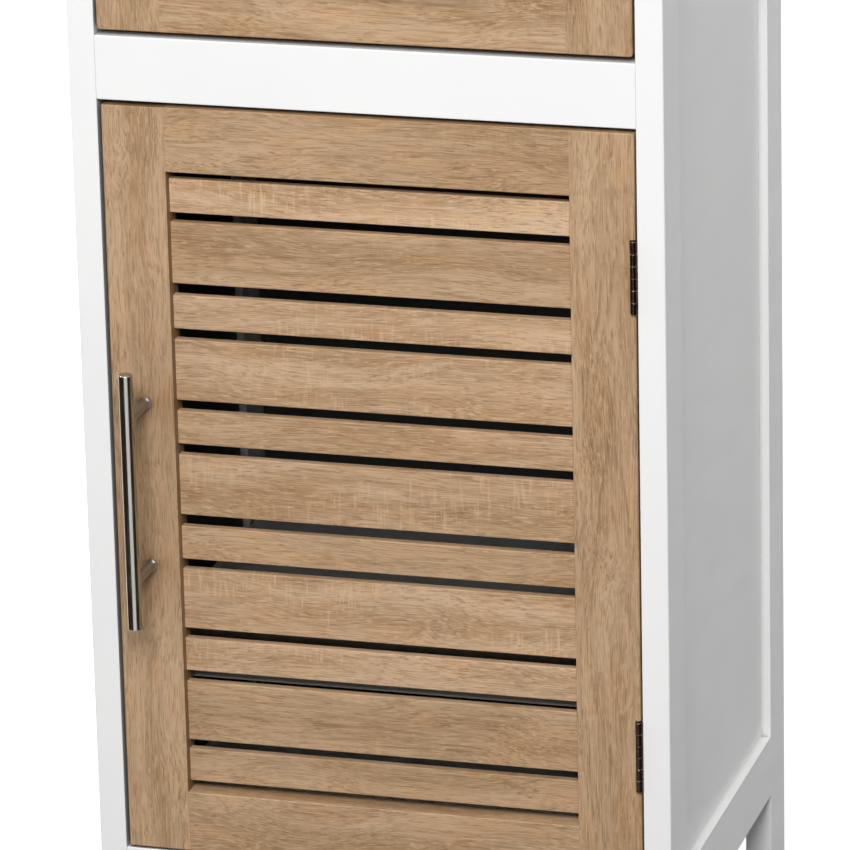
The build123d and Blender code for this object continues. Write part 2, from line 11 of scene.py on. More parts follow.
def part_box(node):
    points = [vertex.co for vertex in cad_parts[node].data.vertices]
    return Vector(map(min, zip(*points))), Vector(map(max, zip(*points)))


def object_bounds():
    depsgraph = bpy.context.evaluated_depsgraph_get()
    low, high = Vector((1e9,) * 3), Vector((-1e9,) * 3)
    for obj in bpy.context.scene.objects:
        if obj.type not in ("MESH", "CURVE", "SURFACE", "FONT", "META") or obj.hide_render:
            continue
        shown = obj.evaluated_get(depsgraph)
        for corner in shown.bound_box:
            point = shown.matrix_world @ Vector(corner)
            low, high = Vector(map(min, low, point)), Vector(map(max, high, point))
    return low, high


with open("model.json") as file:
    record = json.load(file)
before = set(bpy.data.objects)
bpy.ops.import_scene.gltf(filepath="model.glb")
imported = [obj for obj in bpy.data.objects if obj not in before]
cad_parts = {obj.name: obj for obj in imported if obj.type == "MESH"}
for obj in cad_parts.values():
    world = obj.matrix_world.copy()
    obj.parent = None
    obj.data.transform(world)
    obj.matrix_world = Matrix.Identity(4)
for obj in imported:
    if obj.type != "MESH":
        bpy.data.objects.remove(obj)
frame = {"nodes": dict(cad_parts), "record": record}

bl_info = {
    "name": "Bathroom Floor Cabinet",
    "version": (1, 0, 0),
    "blender": (4, 5, 0),
    "location": "3D View > Sidebar > Cabinet",
    "description": "Finishes, studio and camera for a white cabinet with oak-look fronts",
    "category": "Object",
}

# The whole cabinet and the planes that the finishes and the camera are placed from
CAD_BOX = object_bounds()
NODES = frame["nodes"]
SLOT_OF = {part["node"]: part["material_slot"] for part in frame["record"]["subparts"]}
CASE_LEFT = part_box("left_front_leg")[0].x
CASE_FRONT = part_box("front_cross_rail")[0].y
CROSS_RAIL_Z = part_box("front_cross_rail")[0].z
CASE_HEIGHT = CAD_BOX[1].z

# How deep each finish's bump is, in metres
LACQUER_RELIEF = 0.00002
OAK_RELIEF = 0.00004
BOARD_RELIEF = 0.0001
BRUSH_RELIEF = 0.000004
PLATING_RELIEF = 0.00003
PLASTIC_RELIEF = 0.00004
BEECH_RELIEF = 0.00005
FLOOR_RELIEF = 0.0001

# Specular level of the satin finishes and the floor
LACQUER_GLOSS = 0.2
OAK_GLOSS = 0.35
FLOOR_GLOSS = 0.1

# Tint and reach of the painted shadow of the door handle on its stile
HANDLE_SHADOW_TINT = (0.42, 0.36, 0.27, 1.0)
HANDLE_SHADOW_REACH = 0.05

# Turns that lay a print's grain upright, level, or from front to back
UPRIGHT = (0.0, math.radians(90.0), 0.0)
LEVEL = (0.0, 0.0, 0.0)
FORWARDS = (0.0, 0.0, math.radians(90.0))

# Sizes of the fixed lamps, and how the lamp over the floor is aimed
SIDE_SIZE = 0.6
FLOOR_LIGHT_SIZE = 1.5
FLOOR_LIGHT_SPREAD = 90.0
FLOOR_LIGHT_LEAN = 0.7
BACK_SIZE = 2.2

# Black cards round the door handle: first and last direction, in degrees from straight ahead
FLAGS = (("left_flag", -112.0, -7.0), ("right_flag", 44.0, 100.0))
FLAG_STEPS = 8


class CabinetFinish(PropertyGroup):
    """Colours and sheen of the cabinet's materials."""

    paint: FloatVectorProperty(
        name="Lacquer", description="Colour of the white lacquer",
        subtype="COLOR", size=4, min=0.0, max=1.0, default=(0.83, 0.83, 0.825, 1.0),
    )
    # Near-black colour painted on the case's inner walls as shade, so the inside looks dark through
    # the slots
    inside: FloatVectorProperty(
        name="Inside", description="Colour of the dark grey foil on the case's inner walls",
        subtype="COLOR", size=4, min=0.0, max=1.0, default=(0.06, 0.06, 0.061, 1.0),
    )
    shelving: FloatVectorProperty(
        name="Shelving", description="Colour of the pale foil on the level boards",
        subtype="COLOR", size=4, min=0.0, max=1.0, default=(0.66, 0.65, 0.63, 1.0),
    )
    paint_roughness: FloatProperty(
        name="Lacquer roughness", description="Satin sheen of the lacquer",
        subtype="FACTOR", min=0.0, max=1.0, default=0.58,
    )
    paint_ripple: FloatProperty(
        name="Lacquer ripple", description="Width of the sprayed lacquer's ripples",
        unit="LENGTH", min=0.0005, max=0.01, default=0.0024,
    )
    oak_light: FloatVectorProperty(
        name="Oak light", description="Colour of the pale grain and the flecks",
        subtype="COLOR", size=4, min=0.0, max=1.0, default=(0.523, 0.359, 0.22, 1.0),
    )
    oak_middle: FloatVectorProperty(
        name="Oak middle", description="Main colour of the oak print",
        subtype="COLOR", size=4, min=0.0, max=1.0, default=(0.374, 0.237, 0.126, 1.0),
    )
    oak_dark: FloatVectorProperty(
        name="Oak dark", description="Colour of the late wood and the pores",
        subtype="COLOR", size=4, min=0.0, max=1.0, default=(0.178, 0.093, 0.037, 1.0),
    )
    streak_length: FloatProperty(
        name="Streak length", description="Length of one fine streak along the grain",
        unit="LENGTH", min=0.002, max=0.1, default=0.014,
    )
    streak_width: FloatProperty(
        name="Streak width", description="Width of one fine streak across the grain",
        unit="LENGTH", min=0.0003, max=0.01, default=0.00075,
    )
    steel: FloatVectorProperty(
        name="Steel", description="Colour of the handles' satin steel",
        subtype="COLOR", size=4, min=0.0, max=1.0, default=(0.5, 0.485, 0.455, 1.0),
    )
    bronze: FloatVectorProperty(
        name="Bronze", description="Colour of the dark plated hinges",
        subtype="COLOR", size=4, min=0.0, max=1.0, default=(0.06, 0.04, 0.03, 1.0),
    )
    edge_softness: FloatProperty(
        name="Edge softness", description="Radius that light sees on sharp edges",
        unit="LENGTH", min=0.0, max=0.002, default=0.0004,
    )


class CabinetStudio(PropertyGroup):
    """Light, floor and camera of the studio."""

    world_level: FloatProperty(
        name="World level", description="Strength of the even light from all round",
        min=0.0, max=2.0, default=0.18,
    )
    key_power: FloatProperty(
        name="Key power", description="Power of the large light in front and above",
        subtype="POWER", min=0.0, max=500.0, default=104.0,
    )
    key_place: FloatVectorProperty(
        name="Key place", description="Where the large light stands, from the origin",
        subtype="TRANSLATION", size=3, default=(0.48, -2.6, 2.2),
    )
    key_size: FloatProperty(
        name="Key size", description="Side of the large light",
        unit="LENGTH", min=0.1, max=5.0, default=1.3,
    )
    side_power: FloatProperty(
        name="Side power", description="Power of each light at the sides",
        subtype="POWER", min=0.0, max=500.0, default=5.2,
    )
    side_place: FloatVectorProperty(
        name="Side place",
        description="Where the right side light stands; the left one is opposite",
        subtype="TRANSLATION", size=3, default=(1.25, 0.35, 1.1),
    )
    floor_power: FloatProperty(
        name="Floor light power", description="Power of the light on the floor behind",
        subtype="POWER", min=0.0, max=500.0, default=38.0,
    )
    floor_light_place: FloatVectorProperty(
        name="Floor light place", description="Where the light on the floor behind hangs",
        subtype="TRANSLATION", size=3, default=(-0.6, 2.2, 2.4),
    )
    back_power: FloatProperty(
        name="Back power", description="Power of the light behind the cabinet",
        subtype="POWER", min=0.0, max=500.0, default=17.0,
    )
    back_place: FloatVectorProperty(
        name="Back place", description="Where the light behind the cabinet stands",
        subtype="TRANSLATION", size=3, default=(-0.5, 2.6, 1.1),
    )
    floor_radius: FloatProperty(
        name="Floor radius", description="Radius of the pale floor",
        unit="LENGTH", min=1.0, max=50.0, default=14.0,
    )
    floor_shade: FloatProperty(
        name="Floor shade",
        description="Share of real light and shadow that the white floor shows",
        subtype="FACTOR", min=0.0, max=1.0, default=0.3,
    )
    floor_bounce: FloatProperty(
        name="Floor bounce", description="Share of light that the floor throws back on the object",
        subtype="FACTOR", min=0.0, max=1.0, default=0.12,
    )
    flag_reach: FloatProperty(
        name="Flag reach",
        description="Distance from the door handle to the black flags in its mirror",
        unit="LENGTH", min=0.1, max=2.0, default=0.5,
    )
    lens: FloatProperty(
        name="Lens", description="Focal length of the camera, in millimetres",
        min=10.0, max=1000.0, default=261.8,
    )
    yaw: FloatProperty(
        name="Yaw", description="How far the camera stands round to the right",
        subtype="ANGLE", default=math.radians(16.3575),
    )
    pitch: FloatProperty(
        name="Pitch", description="How far the camera looks down",
        subtype="ANGLE", default=math.radians(18.6067),
    )
    roll: FloatProperty(
        name="Roll", description="Tilt of the camera about its own view",
        subtype="ANGLE", default=math.radians(-1.341),
    )
    stand: FloatVectorProperty(
        name="Camera stand",
        description="Camera from the case's left edge, front plane and cross rail's lower edge",
        subtype="TRANSLATION", size=3, default=(1.1531, -3.2222, 0.9475),
    )


def finish_settings():
    return bpy.context.scene.cabinet_finish


def studio_settings():
    return bpy.context.scene.cabinet_studio


class Sketch:
    """Adds nodes to one node tree and joins them, with the last socket made as the result."""

    def __init__(self, tree):
        self.tree = tree
        self.made = 0

    def add(self, kind, inputs=None, **settings):
        node = self.tree.nodes.new(kind)
        node.location = (220 * (self.made // 3), -260 * (self.made % 3))
        self.made += 1
        for name, value in settings.items():
            setattr(node, name, value)
        self.fill(node, inputs or {})
        return node

    def put(self, socket, value):
        if isinstance(value, NodeSocket):
            self.tree.links.new(value, socket)
        else:
            socket.default_value = value

    def fill(self, node, values):
        for name, value in values.items():
            self.put(node.inputs[name], value)

    def math(self, operation, a, b=0.0, clamp=False):
        node = self.add("ShaderNodeMath", {0: a, 1: b}, operation=operation, use_clamp=clamp)
        return node.outputs[0]

    def mix(self, factor, a, b, blend="MIX"):
        """A Mix node for colours, whose sockets are the numbers 0, 6, 7 and 2."""
        inputs = {0: factor, 6: a, 7: b}
        node = self.add("ShaderNodeMix", inputs, data_type="RGBA", blend_type=blend)
        return node.outputs[2]

    def span(self, value, low, high, to_low=0.0, to_high=1.0):
        """Smooth step of the value from low to high."""
        inputs = {"Value": value, "From Min": low, "From Max": high}
        inputs.update({"To Min": to_low, "To Max": to_high})
        node = self.add("ShaderNodeMapRange", inputs, interpolation_type="SMOOTHSTEP")
        return node.outputs["Result"]

    def place(self, vector, scale=(1, 1, 1), shift=(0, 0, 0), turn=(0, 0, 0)):
        inputs = {"Vector": vector, "Scale": scale, "Location": shift, "Rotation": turn}
        return self.add("ShaderNodeMapping", inputs).outputs["Vector"]

    def noise(self, vector, size, detail=2.0, roughness=0.5, distortion=0.0, shift=(0, 0, 0)):
        """Noise whose cells are size metres long along each axis."""
        per_metre = [1.0 / length for length in size]
        inputs = {
            "Vector": self.place(vector, per_metre, shift),
            "Scale": 1.0, "Detail": detail, "Roughness": roughness, "Distortion": distortion,
        }
        return self.add("ShaderNodeTexNoise", inputs).outputs["Fac"]

    def object_place(self, shift=(0, 0, 0), turn=(0, 0, 0)):
        coordinate = self.add("ShaderNodeTexCoord").outputs["Object"]
        return self.place(coordinate, shift=shift, turn=turn)


KINDS = {
    "vector": "NodeSocketVector",
    "colour": "NodeSocketColor",
    "value": "NodeSocketFloat",
}


def new_group(name, given, results):
    """An empty node group: its sketch, the sockets given to it and its end node."""
    group = bpy.data.node_groups.new(name, "ShaderNodeTree")
    for label, (kind, default) in given.items():
        socket = group.interface.new_socket(label, in_out="INPUT", socket_type=KINDS[kind])
        if default is not None:
            socket.default_value = default
    for label, kind in results.items():
        group.interface.new_socket(label, in_out="OUTPUT", socket_type=KINDS[kind])
    sketch = Sketch(group)
    start = sketch.add("NodeGroupInput")
    end = sketch.add("NodeGroupOutput")
    end.location = (3200, 0)
    return sketch, start.outputs, end


def make_oak_print():
    """Printed oak. Grain runs along X of the vector; pores, growth lines, pale dashes and rays."""
    sketch, given, end = new_group(
        "Oak Print",
        {
            "Vector": ("vector", None),
            "Light": ("colour", (0.66, 0.48, 0.31, 1.0)),
            "Middle": ("colour", (0.5, 0.34, 0.2, 1.0)),
            "Dark": ("colour", (0.23, 0.13, 0.06, 1.0)),
            "Streak Length": ("value", 0.016),
            "Streak Width": ("value", 0.0012),
            "Figure": ("value", 0.5),
            "Rays": ("value", 0.3),
        },
        {"Colour": "colour", "Roughness": "value", "Height": "value"},
    )
    # The grain waves a little, more where it is far from the pith
    sway = sketch.noise(given["Vector"], (0.12, 0.035, 0.035), detail=1.0, shift=(6.0, 2.0, 9.0))
    lift = sketch.span(sway, 0.2, 0.8, -0.005, 0.005)
    waved = sketch.add("ShaderNodeCombineXYZ", {"X": 0.0, "Y": lift, "Z": lift}).outputs[0]
    place = sketch.add("ShaderNodeVectorMath", {0: given["Vector"], 1: waved}).outputs[0]

    # Slow changes of shade in bands along the grain
    drift = sketch.noise(place, (0.22, 0.017, 0.017), detail=3.0, roughness=0.55)
    blush = sketch.noise(place, (0.05, 0.012, 0.012), detail=2.0, shift=(7.3, 1.1, 4.2))
    colour = sketch.mix(sketch.span(drift, 0.36, 0.66), given["Middle"], given["Light"])
    warm = sketch.mix(1.0, colour, (1.05, 0.97, 0.9, 1.0), "MULTIPLY")
    colour = sketch.mix(sketch.span(blush, 0.42, 0.68), colour, warm)

    # Growth lines, close together across the grain, that meet in long tongues where they bend
    field = sketch.noise(place, (0.3, 0.038, 0.038), detail=1.5, distortion=0.35)
    ring = sketch.math("FRACT", sketch.math("MULTIPLY", field, 17.0))
    ring_line = sketch.span(ring, 0.45, 1.0)
    broken = sketch.noise(place, (0.03, 0.004, 0.004), detail=2.0, shift=(2.0, 5.0, 3.0))
    ring_line = sketch.math("MULTIPLY", ring_line, sketch.span(broken, 0.35, 0.62))
    amount = sketch.math("MULTIPLY", ring_line, given["Figure"])
    colour = sketch.mix(amount, colour, given["Dark"])

    # Fine streaks, whose size the user sets
    along = sketch.math("DIVIDE", 1.0, given["Streak Length"])
    across = sketch.math("DIVIDE", 1.0, given["Streak Width"])
    scale = sketch.add("ShaderNodeCombineXYZ", {"X": along, "Y": across, "Z": across})
    fine = sketch.add(
        "ShaderNodeVectorMath", {0: place, 1: scale.outputs[0]}, operation="MULTIPLY"
    ).outputs[0]
    streak = sketch.add(
        "ShaderNodeTexNoise", {"Vector": fine, "Scale": 1.0, "Detail": 2.0, "Roughness": 0.5}
    ).outputs["Fac"]
    dark_streak = sketch.span(streak, 0.5, 0.32, 0.0, 0.3)
    pale_streak = sketch.span(streak, 0.52, 0.7, 0.0, 0.75)
    colour = sketch.mix(dark_streak, colour, given["Dark"])
    colour = sketch.mix(pale_streak, colour, given["Light"])

    # Long hair lines
    hair = sketch.noise(place, (0.07, 0.0006, 0.0006), detail=2.0, shift=(8.2, 4.4, 0.9))
    colour = sketch.mix(sketch.span(hair, 0.52, 0.36, 0.0, 0.3), colour, given["Dark"])
    colour = sketch.mix(sketch.span(hair, 0.52, 0.66, 0.0, 0.3), colour, given["Light"])

    # Short open pores and short pale dashes
    pore = sketch.noise(place, (0.009, 0.0008, 0.0008), detail=1.0, shift=(3.1, 8.8, 1.7))
    pore = sketch.span(pore, 0.6, 0.72)
    dash = sketch.noise(place, (0.007, 0.001, 0.001), detail=1.0, shift=(9.4, 2.6, 6.5))
    dash = sketch.span(dash, 0.6, 0.72, 0.0, 0.75)
    colour = sketch.mix(sketch.math("MULTIPLY", pore, 0.5), colour, given["Dark"])
    colour = sketch.mix(dash, colour, given["Light"])

    # Pale rays that cross the grain in patches
    ray = sketch.noise(given["Vector"], (0.0016, 0.014, 0.014), detail=2.0, shift=(5.5, 3.3, 2.2))
    patch = sketch.noise(place, (0.09, 0.03, 0.03), detail=1.0, shift=(1.4, 6.1, 8.3))
    ray = sketch.math("MULTIPLY", sketch.span(ray, 0.52, 0.7), sketch.span(patch, 0.45, 0.62))
    ray = sketch.math("MULTIPLY", ray, given["Rays"], clamp=True)
    pale = sketch.mix(1.0, given["Light"], (1.12, 1.1, 1.06, 1.0), "MULTIPLY")
    colour = sketch.mix(ray, colour, pale)

    height = sketch.math("SUBTRACT", sketch.math("MULTIPLY", streak, 0.4), pore)
    roughness = sketch.math("MULTIPLY_ADD", pore, 0.12)
    roughness.node.inputs[2].default_value = 0.5
    sketch.fill(end, {"Colour": colour, "Roughness": roughness, "Height": height})


def make_lacquer_skin():
    """Sprayed lacquer: a faint ripple, and a faint change of sheen where it was cleaned."""
    sketch, given, end = new_group(
        "Lacquer Skin",
        {
            "Vector": ("vector", None),
            "Base": ("colour", (0.86, 0.86, 0.86, 1.0)),
            "Ripple": ("value", 0.0024),
            "Roughness": ("value", 0.42),
        },
        {"Colour": "colour", "Roughness": "value", "Height": "value"},
    )
    place = given["Vector"]
    cloud = sketch.noise(place, (0.11, 0.11, 0.11), detail=3.0)
    shade = sketch.mix(1.0, given["Base"], (0.985, 0.987, 0.99, 1.0), "MULTIPLY")
    colour = sketch.mix(sketch.span(cloud, 0.4, 0.62), given["Base"], shade)
    wipe = sketch.noise(place, (0.035, 0.06, 0.012), detail=4.0, shift=(4.0, 2.0, 7.0))
    wiped = sketch.span(wipe, 0.35, 0.7, -0.05, 0.05)
    roughness = sketch.math("ADD", given["Roughness"], wiped, clamp=True)
    per_metre = sketch.math("DIVIDE", 1.0, given["Ripple"])
    ripple = sketch.add(
        "ShaderNodeTexNoise", {"Vector": place, "Scale": per_metre, "Detail": 2.0}
    ).outputs["Fac"]
    sketch.fill(end, {"Colour": colour, "Roughness": roughness, "Height": ripple})


def make_brush_marks():
    """Fine marks along X of the vector, with faint smudges, for drawn and brushed metal."""
    sketch, given, end = new_group(
        "Brush Marks",
        {
            "Vector": ("vector", None),
            "Base": ("colour", (0.5, 0.5, 0.5, 1.0)),
            "Roughness": ("value", 0.2),
        },
        {"Colour": "colour", "Roughness": "value", "Height": "value"},
    )
    place = given["Vector"]
    mark = sketch.noise(place, (0.03, 0.00035, 0.00035), detail=3.0, roughness=0.65)
    smudge = sketch.noise(place, (0.02, 0.012, 0.012), detail=3.0, shift=(1.0, 3.0, 2.0))
    darker = sketch.mix(1.0, given["Base"], (0.82, 0.81, 0.8, 1.0), "MULTIPLY")
    colour = sketch.mix(sketch.span(mark, 0.35, 0.65), darker, given["Base"])
    roughness = sketch.math("ADD", given["Roughness"], sketch.span(smudge, 0.4, 0.7, -0.03, 0.08))
    roughness = sketch.math("ADD", roughness, sketch.span(mark, 0.3, 0.7, 0.03, -0.02))
    sketch.fill(end, {"Colour": colour, "Roughness": roughness, "Height": mark})


def make_plating():
    """Electroplated metal: mottled tone, small pits and a lighter rub along the edges."""
    sketch, given, end = new_group(
        "Plating",
        {
            "Vector": ("vector", None),
            "Base": ("colour", (0.06, 0.04, 0.03, 1.0)),
            "Rubbed": ("colour", (0.3, 0.22, 0.15, 1.0)),
            "Edge": ("value", 0.0),
            "Roughness": ("value", 0.35),
        },
        {"Colour": "colour", "Roughness": "value", "Height": "value"},
    )
    place = given["Vector"]
    mottle = sketch.noise(place, (0.003, 0.003, 0.003), detail=4.0, roughness=0.6)
    pit = sketch.span(sketch.noise(place, (0.0005, 0.0005, 0.0005), detail=1.0), 0.62, 0.72)
    deep = sketch.mix(1.0, given["Base"], (0.62, 0.6, 0.58, 1.0), "MULTIPLY")
    colour = sketch.mix(sketch.span(mottle, 0.38, 0.62), deep, given["Base"])
    rub = sketch.math("MULTIPLY", given["Edge"], sketch.span(mottle, 0.3, 0.6))
    colour = sketch.mix(rub, colour, given["Rubbed"])
    worn = sketch.span(mottle, 0.35, 0.65, 0.08, -0.05)
    roughness = sketch.math("ADD", given["Roughness"], worn)
    height = sketch.math("SUBTRACT", mottle, pit)
    sketch.fill(end, {"Colour": colour, "Roughness": roughness, "Height": height})


def make_pressed_fibre():
    """Pressed wood fibre: short tangled fibres of two tones with dark specks."""
    sketch, given, end = new_group(
        "Pressed Fibre",
        {
            "Vector": ("vector", None),
            "Base": ("colour", (0.3, 0.18, 0.1, 1.0)),
        },
        {"Colour": "colour", "Roughness": "value", "Height": "value"},
    )
    place = given["Vector"]
    strand = sketch.noise(
        place, (0.004, 0.0012, 0.0012), detail=4.0, roughness=0.7, distortion=1.2
    )
    speck = sketch.span(sketch.noise(place, (0.0016, 0.0016, 0.0016), detail=1.0), 0.64, 0.72)
    pale = sketch.mix(1.0, given["Base"], (1.45, 1.42, 1.35, 1.0), "MULTIPLY")
    dark = sketch.mix(1.0, given["Base"], (0.45, 0.42, 0.4, 1.0), "MULTIPLY")
    colour = sketch.mix(sketch.span(strand, 0.35, 0.65), given["Base"], pale)
    colour = sketch.mix(speck, colour, dark)
    roughness = sketch.span(strand, 0.2, 0.8, 0.72, 0.9)
    sketch.fill(end, {"Colour": colour, "Roughness": roughness, "Height": strand})


def make_soft_edge():
    """Rounds sharp edges for the light, and puts out how much of an edge a place is."""
    sketch, given, end = new_group(
        "Soft Edge",
        {"Radius": ("value", 0.0004)},
        {"Normal": "vector", "Edge": "value"},
    )
    rounded = sketch.add("ShaderNodeBevel", {"Radius": given["Radius"]}, samples=4).outputs[0]
    flat = sketch.add("ShaderNodeNewGeometry").outputs["Normal"]
    alike = sketch.add(
        "ShaderNodeVectorMath", {0: rounded, 1: flat}, operation="DOT_PRODUCT"
    ).outputs["Value"]
    sketch.fill(end, {"Normal": rounded, "Edge": sketch.span(alike, 0.995, 0.9)})


def make_painted_crevice_shade():
    """Painted shade: darkens a colour in narrow gaps and near close parts, where ambient occlusion
    finds little open space.
    """
    sketch, given, end = new_group(
        "Crevice",
        {
            "Colour": ("colour", (0.8, 0.8, 0.8, 1.0)),
            "Dark": ("colour", (0.1, 0.095, 0.1, 1.0)),
            "Reach": ("value", 0.006),
            "Open": ("value", 0.55),
            "Shut": ("value", 0.15),
            "Depth": ("value", 0.8),
        },
        {"Colour": "colour"},
    )
    shelter = sketch.add(
        "ShaderNodeAmbientOcclusion", {"Distance": given["Reach"]}, samples=4
    ).outputs["AO"]
    amount = sketch.span(shelter, given["Open"], given["Shut"])
    amount = sketch.math("MULTIPLY", amount, given["Depth"])
    dark = sketch.mix(1.0, given["Colour"], given["Dark"], "MULTIPLY")
    sketch.fill(end, {"Colour": sketch.mix(amount, given["Colour"], dark)})


GROUP_MAKERS = {
    "Crevice": make_painted_crevice_shade,
    "Oak Print": make_oak_print,
    "Lacquer Skin": make_lacquer_skin,
    "Brush Marks": make_brush_marks,
    "Plating": make_plating,
    "Pressed Fibre": make_pressed_fibre,
    "Soft Edge": make_soft_edge,
}


def group_node(sketch, name, inputs):
    """Places a shared group, which is built the first time that a material asks for it."""
    if name not in bpy.data.node_groups:
        GROUP_MAKERS[name]()
    node = sketch.add("ShaderNodeGroup", node_tree=bpy.data.node_groups[name])
    sketch.fill(node, inputs)
    return node.outputs


def new_material(name):
    """A material with only a shader and its output, and the sketch to fill it."""
    material = bpy.data.materials.new(name)
    material.use_nodes = True
    material.node_tree.nodes.clear()
    sketch = Sketch(material.node_tree)
    output = sketch.add("ShaderNodeOutputMaterial")
    shader = sketch.add("ShaderNodeBsdfPrincipled")
    sketch.put(output.inputs["Surface"], shader.outputs["BSDF"])
    return material, sketch, shader.inputs


def surface(sketch, shader, skin, relief, edge, colour=None):
    """Joins a skin's colour, roughness and height to the shader, with a bump relief metres deep."""
    bump = sketch.add("ShaderNodeBump", {
        "Height": skin["Height"], "Normal": edge["Normal"], "Distance": relief, "Strength": 1.0,
    })
    sketch.put(shader["Base Color"], skin["Colour"] if colour is None else colour)
    sketch.put(shader["Roughness"], skin["Roughness"])
    sketch.put(shader["Normal"], bump.outputs["Normal"])


def soft_edge(sketch):
    """The shared edge effect with the radius that the user sets."""
    return group_node(sketch, "Soft Edge", {"Radius": finish_settings().edge_softness})


def lacquer():
    """Satin white lacquer, with painted shade darkening the joints and narrow gaps."""
    settings = finish_settings()
    material, sketch, shader = new_material("satin_white_lacquer")
    edge = soft_edge(sketch)
    skin = group_node(sketch, "Lacquer Skin", {
        "Vector": sketch.object_place(),
        "Base": settings.paint[:],
        "Ripple": settings.paint_ripple,
        "Roughness": settings.paint_roughness,
    })
    # Painted shade in the joints and gaps, from ambient occlusion
    colour = group_node(sketch, "Crevice", {"Colour": skin["Colour"]})["Colour"]
    surface(sketch, shader, skin, LACQUER_RELIEF, edge, colour)
    shader["Specular IOR Level"].default_value = LACQUER_GLOSS
    return material


def oak(name, turn, shift, tone=1.0, figure=0.3, rays=0.25, handle_shadow=0.0):
    """Oak foil with its grain turned along the piece and its own place in the print.

    The last argument is how much painted shadow of the handle darkens the foil close to it.
    """
    settings = finish_settings()
    material, sketch, shader = new_material(name)

    def toned(colour):
        """The colour in this tone: a darker print is also warmer."""
        return [channel * tone ** power for channel, power in zip(colour, (1.0, 1.1, 1.4))] + [1.0]

    edge = soft_edge(sketch)
    grain = group_node(sketch, "Oak Print", {
        "Vector": sketch.object_place(shift=shift, turn=turn),
        "Light": toned(settings.oak_light),
        "Middle": toned(settings.oak_middle),
        "Dark": toned(settings.oak_dark),
        "Streak Length": settings.streak_length,
        "Streak Width": settings.streak_width,
        "Figure": figure,
        "Rays": rays,
    })
    colour = grain["Colour"]
    # Painted shadow of the door handle, darkening the foil near it
    if handle_shadow:
        colour = group_node(sketch, "Crevice", {
            "Colour": colour, "Dark": HANDLE_SHADOW_TINT, "Reach": HANDLE_SHADOW_REACH,
            "Open": 1.0, "Shut": 0.72, "Depth": handle_shadow,
        })["Colour"]
    surface(sketch, shader, grain, OAK_RELIEF, edge, colour)
    shader["Specular IOR Level"].default_value = OAK_GLOSS
    return material


def side_mask(sketch, direction):
    """1 on faces that look along the object-space direction, 0 on the others."""
    coordinate = sketch.add("ShaderNodeTexCoord")
    facing = sketch.add(
        "ShaderNodeVectorMath", {0: coordinate.outputs["Normal"], 1: direction},
        operation="DOT_PRODUCT",
    ).outputs["Value"]
    return sketch.span(facing, 0.4, 0.6)


def side_panel(name, inner_side):
    """Thin side panel: lacquered outside, near-black painted shade on the side that looks into the
    case.
    """
    settings = finish_settings()
    material, sketch, shader = new_material(name)
    edge = soft_edge(sketch)
    skin = group_node(sketch, "Lacquer Skin", {
        "Vector": sketch.object_place(),
        "Base": sketch.mix(side_mask(sketch, inner_side), settings.paint[:], settings.inside[:]),
        "Ripple": settings.paint_ripple,
        "Roughness": settings.paint_roughness,
    })
    surface(sketch, shader, skin, LACQUER_RELIEF, edge)
    shader["Specular IOR Level"].default_value = LACQUER_GLOSS
    return material


def faced_board(name, raw_side, face):
    """Thin fibre board with a foil face. raw_side is the object-space direction left brown."""
    material, sketch, shader = new_material(name)
    edge = soft_edge(sketch)
    coordinate = sketch.add("ShaderNodeTexCoord")
    raw = side_mask(sketch, raw_side)
    skin = group_node(sketch, "Lacquer Skin", {
        "Vector": coordinate.outputs["Object"],
        "Base": face,
        "Roughness": 0.5,
    })
    fibre = group_node(sketch, "Pressed Fibre", {"Vector": coordinate.outputs["Object"]})
    rough_change = sketch.math("SUBTRACT", fibre["Roughness"], skin["Roughness"])
    roughness = sketch.math("MULTIPLY_ADD", rough_change, raw)
    sketch.put(roughness.node.inputs[2], skin["Roughness"])
    both = {
        "Colour": sketch.mix(raw, skin["Colour"], fibre["Colour"]),
        "Roughness": roughness,
        "Height": sketch.math("MULTIPLY", fibre["Height"], raw),
    }
    surface(sketch, shader, both, BOARD_RELIEF, edge)
    return material


def satin_steel(name, turn, shade=1.0, roughness=0.15):
    """Steel of the handles, drawn along the bar; a shade below one darkens it as painted shade."""
    settings = finish_settings()
    material, sketch, shader = new_material(name)
    edge = soft_edge(sketch)
    marks = group_node(sketch, "Brush Marks", {
        "Vector": sketch.object_place(turn=turn),
        "Base": [channel * shade for channel in settings.steel[:3]] + [1.0],
        "Roughness": roughness,
    })
    surface(sketch, shader, marks, BRUSH_RELIEF, edge)
    shader["Metallic"].default_value = 1.0
    return material


def plated(name, base, rubbed, roughness):
    """Electroplated metal with its edges rubbed to a lighter colour."""
    material, sketch, shader = new_material(name)
    edge = soft_edge(sketch)
    plating = group_node(sketch, "Plating", {
        "Vector": sketch.object_place(),
        "Base": base,
        "Rubbed": rubbed,
        "Edge": edge["Edge"],
        "Roughness": roughness,
    })
    surface(sketch, shader, plating, PLATING_RELIEF, edge)
    shader["Metallic"].default_value = 1.0
    return material


def plastic(name, base, roughness, ripple):
    """Moulded or extruded plastic with a fine skin."""
    material, sketch, shader = new_material(name)
    edge = soft_edge(sketch)
    skin = group_node(sketch, "Lacquer Skin", {
        "Vector": sketch.object_place(),
        "Base": base,
        "Ripple": ripple,
        "Roughness": roughness,
    })
    surface(sketch, shader, skin, PLASTIC_RELIEF, edge)
    return material


def raw_wood(name, base):
    """Turned beech: pressed fibre with the strands along the pin."""
    material, sketch, shader = new_material(name)
    edge = soft_edge(sketch)
    fibre = group_node(sketch, "Pressed Fibre", {"Vector": sketch.object_place(), "Base": base})
    surface(sketch, shader, fibre, BEECH_RELIEF, edge)
    return material


def dress(names, material):
    """Gives the CAD nodes this material alone."""
    for name in names:
        slots = NODES[name].data.materials
        slots.clear()
        slots.append(material)


def in_slot(slot):
    """The CAD nodes that the record puts in this material slot."""
    return [name for name, own in SLOT_OF.items() if own == slot]


